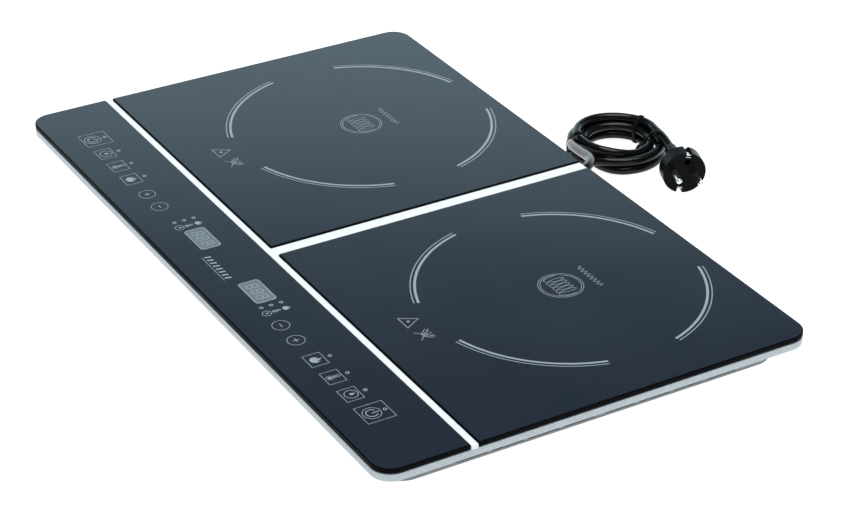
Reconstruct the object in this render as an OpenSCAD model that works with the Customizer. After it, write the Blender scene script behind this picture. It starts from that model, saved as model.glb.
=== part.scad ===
// Double induction cooktop: three glass panels in a metal frame over a shallow moulded pan,
// with two coil units, their power boards and blowers, a touch board and a mains cord.
// +X is right, +Y is back, +Z is up. The origin is on the floor under the middle of the glass.

/* [Overall] */
// Width of the glass top
body_w = 600; // [560:5:720]
// Depth of the glass top
body_d = 358; // [340:2:430]
// Height from the floor to the top of the glass
body_h = 58; // [54:1:70]
// Radius of the outer corners
corner_r = 16; // [8:1:24]

/* [Glass] */
// Thickness of the glass panels
glass_t = 4; // [3:0.5:6]
// Depth of the control panel's glass
control_d = 69.5; // [60:0.5:84]
// Space between the control glass and the cooking glasses
front_bar = 6.4; // [5:0.2:12]
// Space between the two cooking glasses
mid_bar = 12.5; // [8:0.5:20]
// Clearance between a glass edge and the metal bar beside it
glass_gap = 0.3; // [0.1:0.1:0.8]
// Thickness of the adhesive bead under the glass
bead_t = 0.5; // [0.3:0.1:1.2]
// Width of the adhesive bead
bead_w = 5; // [3:0.5:6]

/* [Frame] */
// Height of the visible metal rim
rim_h = 6; // [4.5:0.5:10]
// Thickness of the rim's wall
rim_t = 3; // [2:0.5:4]
// Thickness of the land that carries the glass
land_t = 3; // [2.6:0.2:4]
// Width of the land under an outer edge
land_w = 12; // [10:1:14]
// Width of the land beyond a bar
land_in = 8; // [7:0.5:12]
// How far a bar's top lies below the top of the glass
bar_drop = 1.3; // [0.5:0.1:2.5]

/* [Pan] */
// Wall of the moulded pan
pan_wall = 2; // [1.6:0.2:2.6]
// Distance from the glass outline to the pan's upright wall
pan_inset = 15; // [13:1:18]
// Corner radius of the pan's upright wall
pan_r = 20; // [14:1:30]
// Height of the pan's upright wall with its flange
collar_h = 16.5; // [15:0.5:18]
// Distance from the glass outline to the flat floor, at the sides
floor_in_x = 58; // [50:1:66]
// Distance from the glass outline to the flat floor, at front and back
floor_in_y = 36; // [30:1:40]
// Height of the rubber feet below the pan
foot_h = 6; // [4:0.5:9]
// Radius of the rubber feet
foot_r = 11; // [8:0.5:13]
// Length of one side vent slot
vent_l = 25.4; // [18:0.2:27]
// Distance from one vent slot to the next
vent_pitch = 29.3; // [28:0.1:32]
// Height of a vent slot
vent_h = 9; // [5:0.5:10]

/* [Cooking zones] */
// Distance from the back edge to a zone's centre
zone_back = 121.5; // [118:0.5:126]
// Outer radius of the coil winding
coil_r = 92; // [84:1:96]
// Diameter of the litz wire
litz_d = 3.4; // [2.8:0.1:3.8]
// Thickness of the coil carrier
carrier_t = 3; // [2:0.5:4]
// Thickness of the ferrite bars
ferrite_t = 5.5; // [4:0.5:6]
// Free height of the springs under the carrier
spring_l = 10; // [8:0.5:12]

/* [Electronics] */
// Width of a power board
board_w = 102; // [96:1:108]
// Depth of a power board
board_d = 120; // [112:1:124]
// Thickness of the circuit boards
board_t = 1.6; // [1:0.2:2.4]
// Height of the bosses under a power board
boss_h = 5; // [4:0.5:7]
// Outer radius of a blower's scroll
blower_r = 38; // [36:0.5:40]
// Height of a blower
blower_h = 20; // [18:0.5:22]
// Radius of a blower's shaft
shaft_r = 1.5; // [1:0.1:2]
// Radial clearance of the shaft in its bush
shaft_gap = 0.05; // [0.02:0.01:0.1]
// Height of the touch springs between board and glass
touch_h = 6; // [5:0.5:7]

/* [Cord and plug] */
// Diameter of the mains cord
cord_d = 8; // [6:0.5:8.5]
// Radius of the plug's body
plug_r = 18.5; // [18:0.1:19]
// Length of the plug's round body
plug_l = 22; // [18:1:28]
// Length of the plug's tapered boot
plug_boot = 23; // [20:1:26]
// Radius of a plug pin
pin_r = 2.4; // [2:0.1:2.4]
// Length of a plug pin in front of the face
pin_l = 19; // [17:0.5:19]

/* [Hidden] */
$fn = 64;

// Heights, from the floor up
z_glass = body_h - glass_t;
z_land = z_glass - bead_t;
z_rim = z_land - rim_h;
z_flange = z_land - land_t;
z_collar = z_flange - collar_h;
z_pan = foot_h;
z_floor = z_pan + pan_wall;
z_board = z_floor + boss_h;
z_board_top = z_board + board_t;
z_mica = z_glass - 1;
mica_t = 0.8;
z_wind = z_mica - 0.1 - litz_d;
z_carrier = z_wind - carrier_t;
z_ferrite = z_carrier - ferrite_t;
z_post = z_carrier - spring_l;
z_blower = z_floor + 4;
z_touch = z_glass - touch_h;

// Lines of the top, from the front edge back
y_front = -body_d / 2;
y_control = y_front + control_d;
y_cook = y_control + front_bar;
y_back = body_d / 2;
x_side = body_w / 2;
y_bar = (y_control + y_cook) / 2;

// Cooking zones, boards and blowers
zone_x = (x_side + mid_bar / 2) / 2;
zone_y = y_back - zone_back;
post_ring = 80;
lug_r = 7;
post_turns = [0, 120, 240];
post_pin_r = 2.5;
ferrite_turns = [30 : 60 : 330];
ferrite_w = 15;
ferrite_in = 28;
ferrite_out = coil_r - 4;
lead_places = [[30, 52], [18, 52]];
lead_r = 1.6;
sensor_r = 6.8;
board_mid = 19;
board_screw_in = 4;
sink_x = -8;
sink_w = 54;
sink_front = -55;
sink_l = 95;
sink_base = 4;
fin_l = 65;
fin_h = 13;
fin_t = 1.6;
fin_n = 9;
mouth_l = 9;
blower_y = zone_y - board_d / 2 - 8 - mouth_l - blower_r;
blower_ears = [for (a = [135, 225, 315]) (blower_r + 3) * [cos(a), sin(a)]];
inlet_r = blower_r - 11;
rotor_r = blower_r - 4;
blade_n = 18;

// Screws
m3_r = 1.5;
m3_pilot = 1.4;
m3_head_r = 2.8;
m3_head_h = 1.8;
screw_gap = 0.15;
case_inset = 9.75;
case_screw_l = 4.2;

// Touch controls
key_y = y_front + 29.5;
led_y = y_front + 40.7;
key_steps = [103, 126.5, 156.5, 182, 207, 235];
key_shift = -2.5;
key_x = concat([for (s = key_steps) key_shift - s], [for (s = key_steps) key_shift + s]);
led_column = 74;
led_rows = [28.3, 36.3, 44.7];
display_x = 46;
display_shift = 2;
display_y = y_front + 36.5;
tray_w = body_w - 76;
tray_front = y_front + 19;
tray_back = y_control - 10;
ear_y = y_bar - 3;
tray_wall = 2;
tray_ears = [-200, -70, 70, 200];

// Cord exit, cord route, coil and plug
exit_x = -16;
z_exit = z_collar + 8;
y_wall = y_back - pan_inset;
cord_fit = 0.05;
gland_wall = 1.4;
clamp_y = y_wall - 17.5;
clamp_w = 9;
clamp_half = 14;
clamp_t = cord_d / 2 + 2;
clamp_screws = [-10, 10];
terminal_y = clamp_y - 42;
terminal_screws = [-12, 12];
poles = [-5, 0, 5];
coil_x = -93;
coil_y = 276;
coil_in = 24.5;
coil_out = 43;
coil_h = 23;
coil_z = 1;
tie_turns = [54, 109, 248];
tie_w = 3;
tie_t = 0.9;
tie_gap = 0.1;
lead_route = [[-16, 140, 42], [-16, 158, 42], [-16, 170, 42], [-16, 180, 42], [-17.5, 190, 41.5],
    [-24, 200.5, 40.5], [-34, 208.5, 38.5], [-46, 213.5, 35.5], [-59, 217.5, 31.5],
    [-72, 221.5, 27.5], [-84, 226, 23.5], [-97, 232, 19]];
tail_route = [[-62, 306, 18.5], [-51, 302, 18.5], [-40, 298, 18.5], [-29, 294, 18.5]];
plug_place = [-6, 285.6, plug_r];
plug_heading = -20;
plug_roll = -12;
pin_pitch = 19;
pin_root_l = 5;

// Vents: slots in each of the two side groups and in each rear group, and the middle of the side groups
side_vents = 4;
rear_vents = 6;
vent_y = 5.5;

case_points = concat(
    [for (i = [-1.5 : 1 : 1.5], s = [-1, 1]) [i * (body_w - 150) / 3, s * (y_back - case_inset)]],
    [for (i = [-1, 0, 1], s = [-1, 1]) [s * (x_side - case_inset), i * (body_d - 138) / 2]]);
foot_x = x_side - floor_in_x - 27;
foot_y = y_back - floor_in_y - 18;

// ---------- shared shapes ----------

// Flat panel from (x0, y0) to (x1, y1); r gives the radii front-left, front-right, back-right, back-left
module panel2d(x0, y0, x1, y1, r) {
    corners = [[x0, y0, 1, 1], [x1, y0, -1, 1], [x1, y1, -1, -1], [x0, y1, 1, -1]];
    difference() {
        translate([x0, y0]) square([x1 - x0, y1 - y0]);
        for (i = [0 : 3]) {
            c = corners[i];
            if (r[i] > 0)
                translate([c[0] + (c[2] - 1) / 2 * r[i], c[1] + (c[3] - 1) / 2 * r[i]]) square(r[i]);
        }
    }
    for (i = [0 : 3]) {
        c = corners[i];
        if (r[i] > 0) translate([c[0] + c[2] * r[i], c[1] + c[3] * r[i]]) circle(r[i]);
    }
}

// The top's outline, moved inwards, with its own corner radius
module outline2d(in_x, in_y, r) {
    panel2d(in_x - x_side, in_y - y_back, x_side - in_x, y_back - in_y, [r, r, r, r]);
}

module block(x0, y0, z0, x1, y1, z1) {
    translate([x0, y0, z0]) cube([x1 - x0, y1 - y0, z1 - z0]);
}

module peg(x, y, z0, z1, r) {
    translate([x, y, z0]) cylinder(h = z1 - z0, r = r);
}

// Straight round rod between two points
module rod(a, b, r) {
    v = b - a;
    translate(a)
        rotate([0, acos(v[2] / norm(v)), atan2(v[1], v[0])])
            cylinder(h = norm(v), r = r);
}

// Compressed wire spring, as a thin sleeve with one bead for each turn
module wire_spring(r, wire, h, turns) {
    step = (h - wire) / (turns - 1);
    rotate_extrude() {
        translate([r - wire / 4, wire / 2]) square([wire / 2, h - wire]);
        for (i = [0 : turns - 1]) translate([r, wire / 2 + i * step]) circle(wire / 2, $fn = 24);
    }
}

// Pan-head screw with a cross recess; the head stands above z = 0 and the thread goes down
module screw(l) {
    difference() {
        union() {
            translate([0, 0, -l]) cylinder(h = l + 0.2, r = m3_r - screw_gap);
            cylinder(h = m3_head_h, r = m3_head_r);
        }
        for (a = [0, 90]) rotate(a) translate([-1.6, -0.35, 0.8]) cube([3.2, 0.7, m3_head_h]);
    }
}

// Round tube swept along a route, as one closed skin
module cord_tube(route, d, sides) {
    last = len(route) - 1;
    function along(i) = route[min(i + 1, last)] - route[max(i - 1, 0)];
    function across(i) = let (v = cross(along(i), [0, 0, 1])) v / norm(v);
    function upward(i) = let (v = cross(across(i), along(i))) v / norm(v);
    rings = [for (i = [0 : last], k = [0 : sides - 1])
        route[i] + d / 2 * (cos(360 * k / sides) * across(i) + sin(360 * k / sides) * upward(i))];
    caps = [route[0], route[last]];
    n = len(rings);
    function here(i, k) = i * sides + k % sides;
    polyhedron(concat(rings, caps), concat(
        [for (i = [0 : last - 1], k = [0 : sides - 1]) [here(i, k), here(i, k + 1), here(i + 1, k)]],
        [for (i = [0 : last - 1], k = [0 : sides - 1]) [here(i, k + 1), here(i + 1, k + 1), here(i + 1, k)]],
        [for (k = [0 : sides - 1]) [n, here(0, k + 1), here(0, k)]],
        [for (k = [0 : sides - 1]) [n + 1, here(last, k), here(last, k + 1)]]));
}

module at_zone(side) {
    translate([side * zone_x, zone_y, 0]) children();
}

module at_blower(side) {
    translate([side * zone_x, blower_y, z_blower]) children();
}

module at_plug() {
    translate(plug_place) rotate([0, 0, plug_heading]) rotate([plug_roll, 0, 0]) children();
}

// ---------- frame and glass ----------

module windows2d() {
    r = 6;
    panel2d(land_w - x_side, y_front + land_w, x_side - land_w, y_control - land_in, [r, r, r, r]);
    for (s = [0, 1]) mirror([s, 0])
        panel2d(mid_bar / 2 + land_in, y_cook + land_in, x_side - land_w, y_back - land_w, [r, r, r, r]);
}

module bars2d() {
    translate([-x_side, y_control + glass_gap]) square([body_w, front_bar - 2 * glass_gap]);
    translate([glass_gap - mid_bar / 2, y_bar]) square([mid_bar - 2 * glass_gap, y_back - y_bar]);
}

module top_frame() {
    color("silver") difference() {
        union() {
            translate([0, 0, z_rim]) linear_extrude(rim_h) difference() {
                outline2d(0, 0, corner_r);
                outline2d(rim_t, rim_t, corner_r - rim_t);
            }
            translate([0, 0, z_flange]) linear_extrude(land_t) difference() {
                outline2d(0, 0, corner_r);
                windows2d();
            }
            translate([0, 0, z_land - 1]) linear_extrude(glass_t + bead_t - bar_drop + 1) bars2d();
        }
        for (p = case_points)
            peg(p[0], p[1], z_flange - 1, z_flange + case_screw_l - pan_wall + 0.2, m3_pilot);
        for (x = tray_ears) peg(x, ear_y, z_flange - 1, z_flange + 2.4, m3_pilot);
    }
}

module glass_panel(x0, y0, x1, y1, r) {
    color([0.16, 0.19, 0.22]) translate([0, 0, z_glass]) linear_extrude(glass_t) panel2d(x0, y0, x1, y1, r);
}

module control_glass() {
    glass_panel(-x_side, y_front, x_side, y_control, [corner_r, corner_r, 1, 1]);
}

module cooking_glass_left() {
    glass_panel(-x_side, y_cook, -mid_bar / 2, y_back, [1, 1, 1, corner_r]);
}

module cooking_glass_right() {
    glass_panel(mid_bar / 2, y_cook, x_side, y_back, [1, 1, corner_r, 1]);
}

module bead2d(x0, y0, x1, y1, r) {
    a = 1.5;
    b = a + bead_w;
    difference() {
        panel2d(x0 + a, y0 + a, x1 - a, y1 - a, [r[0] - a, r[1] - a, r[2] - a, r[3] - a]);
        panel2d(x0 + b, y0 + b, x1 - b, y1 - b, [r[0] - b, r[1] - b, r[2] - b, r[3] - b]);
    }
}

module glass_adhesive() {
    color("black") translate([0, 0, z_land]) linear_extrude(bead_t) {
        bead2d(-x_side, y_front, x_side, y_control, [corner_r, corner_r, 2, 2]);
        bead2d(-x_side, y_cook, -mid_bar / 2, y_back, [2, 2, 2, corner_r]);
        bead2d(mid_bar / 2, y_cook, x_side, y_back, [2, 2, corner_r, 2]);
    }
}

// ---------- bottom pan ----------

module pan_slope(wall, top_wall) {
    $fn = 32;
    hull() {
        translate([0, 0, z_collar - 0.01]) linear_extrude(0.01)
            outline2d(pan_inset + top_wall, pan_inset + top_wall, pan_r - top_wall);
        translate([0, 0, z_pan + wall]) linear_extrude(0.01)
            outline2d(floor_in_x + wall, floor_in_y + wall, 30 - wall);
    }
}

module vent_row(n) {
    for (i = [0 : n - 1])
        translate([(i - (n - 1) / 2) * vent_pitch - vent_l / 2, -4, 0]) cube([vent_l, 8, vent_h]);
}

module fan_grille() {
    r = inlet_r + 3;
    bar = 4;
    for (y = [4 - r : 2 * bar : r - 4]) {
        half = sqrt(r * r - y * y) - 2;
        translate([-half, y - bar / 2, -1]) cube([2 * half, bar, pan_wall + 2]);
    }
}

module pan_openings() {
    z = z_collar + 1;
    side_step = side_vents * vent_pitch / 2 + 2.6;
    for (s = [-1, 1], g = [-1, 1])
        translate([s * (x_side - pan_inset - pan_wall / 2), vent_y + g * side_step, z])
            rotate(90) vent_row(side_vents);
    for (s = [-1, 1]) translate([s * (x_side / 2), y_wall - pan_wall / 2, z]) vent_row(rear_vents);
    for (s = [-1, 1]) translate([s * zone_x, blower_y, z_pan]) fan_grille();
    for (sx = [-1, 1], sy = [-1, 1]) peg(sx * foot_x, sy * foot_y, z_pan - 1, z_floor + 1, 4);
    for (p = case_points) peg(p[0], p[1], z_flange - pan_wall - 1, z_flange + 1, m3_r + screw_gap);
    translate([exit_x, y_wall - 6, z_exit]) rotate([-90, 0, 0])
        cylinder(h = 12, r = cord_d / 2 + gland_wall + 0.1);
}

function board_screws() = [for (sx = [-1, 1], sy = [-1, 1])
    [board_mid + sx * (board_w / 2 - board_screw_in), sy * (board_d / 2 - board_screw_in)]];

module pan_posts() {
    for (side = [-1, 1]) {
        at_zone(side) {
            for (a = post_turns) rotate(a) translate([post_ring, 0, 0]) {
                peg(0, 0, z_pan + 1, z_post, 4.8);
                peg(0, 0, z_post - 1, z_wind - 0.5, post_pin_r);
            }
            for (p = board_screws()) peg(p[0], p[1], z_pan + 1, z_board, 3.5);
        }
        translate([side * zone_x, blower_y, 0])
            for (p = blower_ears) peg(p[0], p[1], z_pan + 1, z_blower, 3.5);
    }
    for (x = terminal_screws) peg(exit_x + x, terminal_y, z_pan + 1, z_floor + 2, 3.5);
}

module clamp_block(z0, z1) {
    block(exit_x - clamp_half, clamp_y - clamp_w / 2, z0, exit_x + clamp_half, clamp_y + clamp_w / 2, z1);
}

module clamp_tower() {
    intersection() {
        clamp_block(z_pan, z_exit - 0.2);
        pan_slope(0, 0);
    }
    clamp_block(z_collar - 1, z_exit - 0.2);
}

module bottom_pan() {
    color("gray") difference() {
        union() {
            difference() {
                union() {
                    pan_slope(0, 0);
                    translate([0, 0, z_collar - 1]) linear_extrude(collar_h + 1)
                        outline2d(pan_inset, pan_inset, pan_r);
                    translate([0, 0, z_flange - pan_wall]) linear_extrude(pan_wall)
                        outline2d(rim_t + 1.5, rim_t + 1.5, corner_r - rim_t - 1.5);
                }
                pan_slope(pan_wall, pan_wall + 1.5);
                translate([0, 0, z_collar - 0.02]) linear_extrude(collar_h + 1)
                    outline2d(pan_inset + pan_wall, pan_inset + pan_wall, pan_r - pan_wall);
            }
            pan_posts();
            clamp_tower();
        }
        pan_openings();
        for (side = [-1, 1]) {
            at_zone(side) for (p = board_screws()) peg(p[0], p[1], z_floor - 0.5, z_board + 1, m3_pilot);
            translate([side * zone_x, blower_y, 0])
                for (p = blower_ears) peg(p[0], p[1], z_floor - 0.5, z_blower + 1, m3_pilot);
        }
        for (x = terminal_screws) peg(exit_x + x, terminal_y, z_floor - 0.5, z_floor + 3, m3_pilot);
        for (x = clamp_screws) peg(exit_x + x, clamp_y, z_exit - 9, z_exit + 1, m3_pilot);
        translate([exit_x, clamp_y - clamp_w, z_exit]) rotate([-90, 0, 0])
            cylinder(h = 2 * clamp_w, r = cord_d / 2 + cord_fit);
    }
}

module foot(sx, sy) {
    color("black") translate([sx * foot_x, sy * foot_y, 0]) rotate_extrude()
        polygon([[0, 0], [foot_r - 1, 0], [foot_r, 1], [foot_r, foot_h - 1], [foot_r - 1, foot_h],
            [3.9, foot_h], [3.9, z_floor], [4.9, z_floor + 0.6], [3.4, z_floor + 3], [0, z_floor + 3]]);
}

module foot_front_left() { foot(-1, -1); }
module foot_front_right() { foot(1, -1); }
module foot_rear_left() { foot(-1, 1); }
module foot_rear_right() { foot(1, 1); }

module case_screws() {
    color("gainsboro")
        for (p = case_points)
            translate([p[0], p[1], z_flange - pan_wall]) mirror([0, 0, 1]) screw(case_screw_l);
}

// Screws that hold the boards, blowers, cord clamp, terminal block and touch tray
module inner_screws() {
    color("gainsboro") {
        for (side = [-1, 1]) {
            at_zone(side) for (p = board_screws()) translate([p[0], p[1], z_board_top]) screw(6);
            translate([side * zone_x, blower_y, z_blower + 2])
                for (p = blower_ears) translate([p[0], p[1], 0]) screw(5.5);
        }
        for (x = clamp_screws) translate([exit_x + x, clamp_y, z_exit + clamp_t]) screw(12);
        for (x = terminal_screws) translate([exit_x + x, terminal_y, z_floor + 4]) screw(4);
        for (x = tray_ears) translate([x, ear_y, z_flange - 3]) mirror([0, 0, 1]) screw(5);
    }
}

// ---------- cord entry ----------

module cord_gland() {
    bore = cord_d / 2 + cord_fit;
    neck = cord_d / 2 + gland_wall;
    color("black") translate([exit_x, y_wall, z_exit]) rotate([-90, 0, 0]) rotate_extrude()
        polygon([[bore, -6], [neck + 2, -6], [neck + 2, -pan_wall], [neck, -pan_wall], [neck, 0],
            [neck + 0.8, 0], [neck + 0.8, 1.5], [neck + 0.5, 2.5],
            [neck - 0.5, pan_inset - 0.6], [bore, pan_inset - 0.6]]);
}

module cord_clamp() {
    color("white") difference() {
        clamp_block(z_exit + 0.2, z_exit + clamp_t);
        translate([exit_x, clamp_y - clamp_w, z_exit]) rotate([-90, 0, 0])
            cylinder(h = 2 * clamp_w, r = cord_d / 2 + cord_fit);
        for (x = clamp_screws) peg(exit_x + x, clamp_y, z_exit - 1, z_exit + clamp_t + 1, m3_r + screw_gap);
    }
}

module terminal_block() {
    y = terminal_y;
    color("ivory") difference() {
        union() {
            block(exit_x - 18, y - 8, z_floor + 2, exit_x + 18, y + 8, z_floor + 4);
            block(exit_x - 8, y - 8, z_floor + 2, exit_x + 8, y + 8, z_floor + 16);
        }
        for (x = terminal_screws) peg(exit_x + x, y, z_floor, z_floor + 5, m3_r + screw_gap);
        for (x = poles) {
            translate([exit_x + x, y + 1, z_floor + 10]) rotate([-90, 0, 0]) cylinder(h = 8, r = 1.6);
            peg(exit_x + x, y, z_floor + 12.5, z_floor + 17, 1.5);
        }
    }
}

// Three conductors from the end of the sheath to the terminal block
module supply_wires() {
    color("brown") for (i = [0 : 2])
        rod([exit_x + 2.6 * (i - 1), lead_route[0][1] - 0.5, z_exit],
            [exit_x + poles[i], terminal_y + 8.6, z_floor + 10], 1.2);
}

// ---------- touch controls ----------

module touch_board() {
    half = tray_w / 2 - 4;
    color("darkgreen") block(-half, tray_front + 3, z_touch - board_t, half, tray_back - 3, z_touch);
}

module touch_tray() {
    z0 = z_touch - board_t - 4;
    color("white") difference() {
        union() {
            block(-tray_w / 2, tray_front, z0, tray_w / 2, tray_back, z_flange);
            for (x = tray_ears) block(x - 7, tray_back - 1, z_flange - 3, x + 7, y_bar + 2, z_flange);
        }
        block(tray_wall - tray_w / 2, tray_front + tray_wall, z_touch - board_t,
            tray_w / 2 - tray_wall, tray_back - tray_wall, z_flange + 1);
        block(8 - tray_w / 2, tray_front + 7, z0 + tray_wall, tray_w / 2 - 8, tray_back - 7, z_flange + 1);
        for (x = tray_ears) peg(x, ear_y, z_flange - 4, z_flange + 1, m3_r + screw_gap);
        for (s = [-1, 1])
            block(s * zone_x - 23, tray_back - 8, z0 + tray_wall, s * zone_x - 9, tray_back + 1, z0 + 3.4);
    }
}

module touch_springs() {
    color("gold") for (x = key_x) translate([x, key_y, z_touch]) wire_spring(3.6, 0.8, touch_h, 6);
}

module display(side) {
    x = side * display_x + display_shift;
    color("black") difference() {
        block(x - 16, display_y - 8, z_touch, x + 16, display_y + 8, z_glass - 0.6);
        for (i = [-1, 0, 1])
            block(x + 9 * i - 3.2, display_y - 5.4, z_glass - 1.2, x + 9 * i + 3.2, display_y + 5.4, z_glass);
    }
}

module display_left() { display(-1); }
module display_right() { display(1); }

module indicator_leds() {
    h = touch_h - 1;
    color("red") {
        for (i = [0 : 5]) if (i > 1) for (s = [-1, 1])
            peg(key_shift + s * key_steps[i], led_y, z_touch, z_touch + h, 1.5);
        for (s = [-1, 1], y = led_rows)
            peg(key_shift + s * led_column, y_front + y, z_touch, z_touch + h, 1.5);
    }
}

module buzzer() {
    color("black") difference() {
        peg(display_shift, key_y, z_touch, z_touch + 5, 6);
        peg(display_shift, key_y, z_touch + 3, z_touch + 6, 1);
    }
}

// Flat cables from the touch tray, over the blowers, down to the power boards
module ribbon_cables() {
    z0 = z_touch - board_t - 2 + 0.3;
    y1 = zone_y - board_d / 2;
    over = z_blower + blower_h + 2.5;
    route = [[tray_back - 5, z0], [tray_back + 6, z0], [tray_back + 14, over], [y1 - 8, over],
        [y1 - 3, over - 2], [y1 + 5, z_board_top]];
    color("lightgray") for (s = [-1, 1])
        translate([s * zone_x - 22, 0, 0]) rotate([90, 0, 90]) linear_extrude(12)
            polygon(concat(route, [for (i = [len(route) - 1 : -1 : 0]) route[i] + [0.6, 0.8]]));
}

// ---------- coil units ----------

module mica_sheet(side) {
    color("khaki") at_zone(side) translate([0, 0, z_mica]) linear_extrude(mica_t) difference() {
        circle(coil_r + 3);
        circle(sensor_r + 0.5);
    }
}

module coil_winding(side) {
    turns = floor((coil_r - 26) / (litz_d + 0.1));
    color("peru") at_zone(side) translate([0, 0, z_wind + litz_d / 2]) rotate_extrude() {
        translate([coil_r - litz_d / 2 - (turns - 1) * (litz_d + 0.1), -0.5])
            square([(turns - 1) * (litz_d + 0.1), 1]);
        for (i = [0 : turns - 1])
            translate([coil_r - litz_d / 2 - i * (litz_d + 0.1), 0]) circle(litz_d / 2, $fn = 24);
    }
}

module coil_carrier(side) {
    wall = 1.5;
    w = ferrite_w / 2 + 0.2;
    color("dimgray") at_zone(side) difference() {
        union() {
            translate([0, 0, z_carrier]) cylinder(h = carrier_t, r = coil_r + 4);
            for (a = post_turns) rotate(a) peg(post_ring, 0, z_carrier, z_wind, lug_r);
            for (a = ferrite_turns) rotate(a) for (s = [-1, 1])
                block(ferrite_in, s * (w + wall / 2) - wall / 2, z_ferrite,
                    ferrite_out, s * (w + wall / 2) + wall / 2, z_carrier + 1);
        }
        peg(0, 0, z_carrier - 1, z_wind + 1, sensor_r + 0.2);
        for (a = post_turns) rotate(a) peg(post_ring, 0, z_carrier - 1, z_wind + 1, post_pin_r + 0.6);
        for (p = lead_places) peg(p[0], p[1], z_carrier - 1, z_wind + 1, lead_r + 0.6);
    }
}

module ferrite_bars(side) {
    color("darkslategray") at_zone(side) for (a = ferrite_turns) rotate(a)
        block(ferrite_in, -ferrite_w / 2, z_ferrite, ferrite_out, ferrite_w / 2, z_carrier);
}

module glass_sensor(side) {
    color("white") at_zone(side) rotate_extrude()
        polygon([[0, z_carrier - 6], [3, z_carrier - 6], [3, z_carrier - 2], [10, z_carrier - 2],
            [10, z_carrier], [sensor_r, z_carrier], [sensor_r, z_glass - 1], [4, z_glass - 0.1],
            [0, z_glass - 0.1]]);
}

module carrier_springs(side) {
    color("lightgray") at_zone(side) for (a = post_turns) rotate(a)
        translate([post_ring, 0, z_post]) wire_spring(4, 0.9, spring_l, 6);
}

module coil_leads(side) {
    color("saddlebrown") at_zone(side) for (p = lead_places) {
        peg(p[0], p[1], z_board_top, z_wind + litz_d / 2, lead_r);
        peg(p[0], p[1], z_board_top, z_board_top + 4, 3);
    }
}

// ---------- power boards ----------

module power_board(side) {
    color("green") at_zone(side) difference() {
        block(board_mid - board_w / 2, -board_d / 2, z_board,
            board_mid + board_w / 2, board_d / 2, z_board_top);
        for (p = board_screws()) peg(p[0], p[1], z_board - 1, z_board_top + 1, m3_r + screw_gap);
    }
}

module heat_sink(side) {
    step = (sink_w - fin_t) / (fin_n - 1);
    color("silver") at_zone(side) translate([sink_x, sink_front, z_board_top]) {
        cube([sink_w, sink_l, sink_base]);
        for (i = [0 : fin_n - 1]) translate([i * step, 0, sink_base - 0.5]) cube([fin_t, fin_l, fin_h + 0.5]);
    }
}

// Two transistors and a bridge rectifier, flat on the bare end of the heat sink
module power_devices(side) {
    z = z_board_top + sink_base;
    y = sink_front + fin_l + 3;
    color([0.1, 0.1, 0.1]) at_zone(side) for (i = [0 : 2])
        difference() {
            block(sink_x + 1 + 18 * i, y, z, sink_x + 17 + 18 * i, y + 20, z + 5);
            peg(sink_x + 9 + 18 * i, y + 15, z - 1, z + 6, 1.8);
        }
}

module board_capacitors(side) {
    x = board_mid + board_w / 2 - 11;
    color("orange") at_zone(side) {
        block(x - 8, -44, z_board_top, x + 8, -12, z_board_top + 19);
        block(x - 8, -8, z_board_top, x + 8, 24, z_board_top + 19);
        peg(x - 1, 37, z_board_top, z_board_top + 18, 7);
    }
}

module filter_choke(side) {
    color("goldenrod") at_zone(side) translate([board_mid - board_w / 2 + 12, 10, z_board_top])
        for (y = [0, 26]) translate([0, y, 4]) rotate_extrude() translate([6.5, 0]) circle(4, $fn = 24);
}

// ---------- blowers ----------

module scroll2d(r, mouth) {
    circle(r);
    translate([r - mouth, 0]) square([mouth, blower_r + mouth_l]);
}

module blower_housing(side) {
    wall = 1.6;
    color("black") at_blower(side) difference() {
        union() {
            linear_extrude(2) difference() {
                scroll2d(blower_r, blower_r + 2);
                circle(inlet_r);
            }
            linear_extrude(blower_h) difference() {
                scroll2d(blower_r, blower_r + 2);
                intersection() {
                    translate([-blower_r, -blower_r]) square([2 * blower_r, 2 * blower_r + 10]);
                    union() {
                        circle(blower_r - wall);
                        translate([wall - 2, 0]) square([blower_r + 2 - 2 * wall, blower_r + 10]);
                    }
                }
            }
            translate([0, 0, blower_h - 2]) linear_extrude(2) scroll2d(blower_r, blower_r + 2);
            translate([0, 0, 4.5]) cylinder(h = blower_h - 5, r = 4);
            translate([0, 0, 6.5]) cylinder(h = 8, r = 9);
            for (p = blower_ears) peg(p[0], p[1], 0, 2, 5);
        }
        translate([0, 0, 3]) cylinder(h = blower_h, r = shaft_r + shaft_gap);
        for (p = blower_ears) peg(p[0], p[1], -1, 3, m3_r + screw_gap);
    }
}

module blower_rotor(side) {
    disc_z = 15;
    skin = 1.4;
    low = 2.8;
    color("dimgray") at_blower(side) {
        rotate_extrude() polygon([[0, low], [12, low], [12, disc_z], [rotor_r, disc_z],
            [rotor_r, disc_z + skin], [10, disc_z + skin], [10, low + skin], [shaft_r, low + skin],
            [shaft_r, blower_h - 1], [0, blower_h - 1]]);
        rotate_extrude() translate([rotor_r - 2, low]) square([2, skin]);
        for (i = [0 : blade_n - 1]) rotate(i * 360 / blade_n)
            block(rotor_r - 10, -0.5, low + 0.6, rotor_r - 1, 0.5, disc_z + 0.7);
    }
}

// ---------- cord, coil and plug ----------

module mains_cord_lead() {
    color("black") cord_tube(lead_route, cord_d, 10);
}

module mains_cord_tail() {
    color("black") cord_tube(tail_route, cord_d, 10);
}

// Outer shape of the wound turns
module cord_coil() {
    r = 4;
    color("black") translate([coil_x, coil_y, coil_z]) rotate_extrude()
        panel2d(coil_in, 0, coil_out, coil_h, [r, r, r, r]);
}

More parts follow.
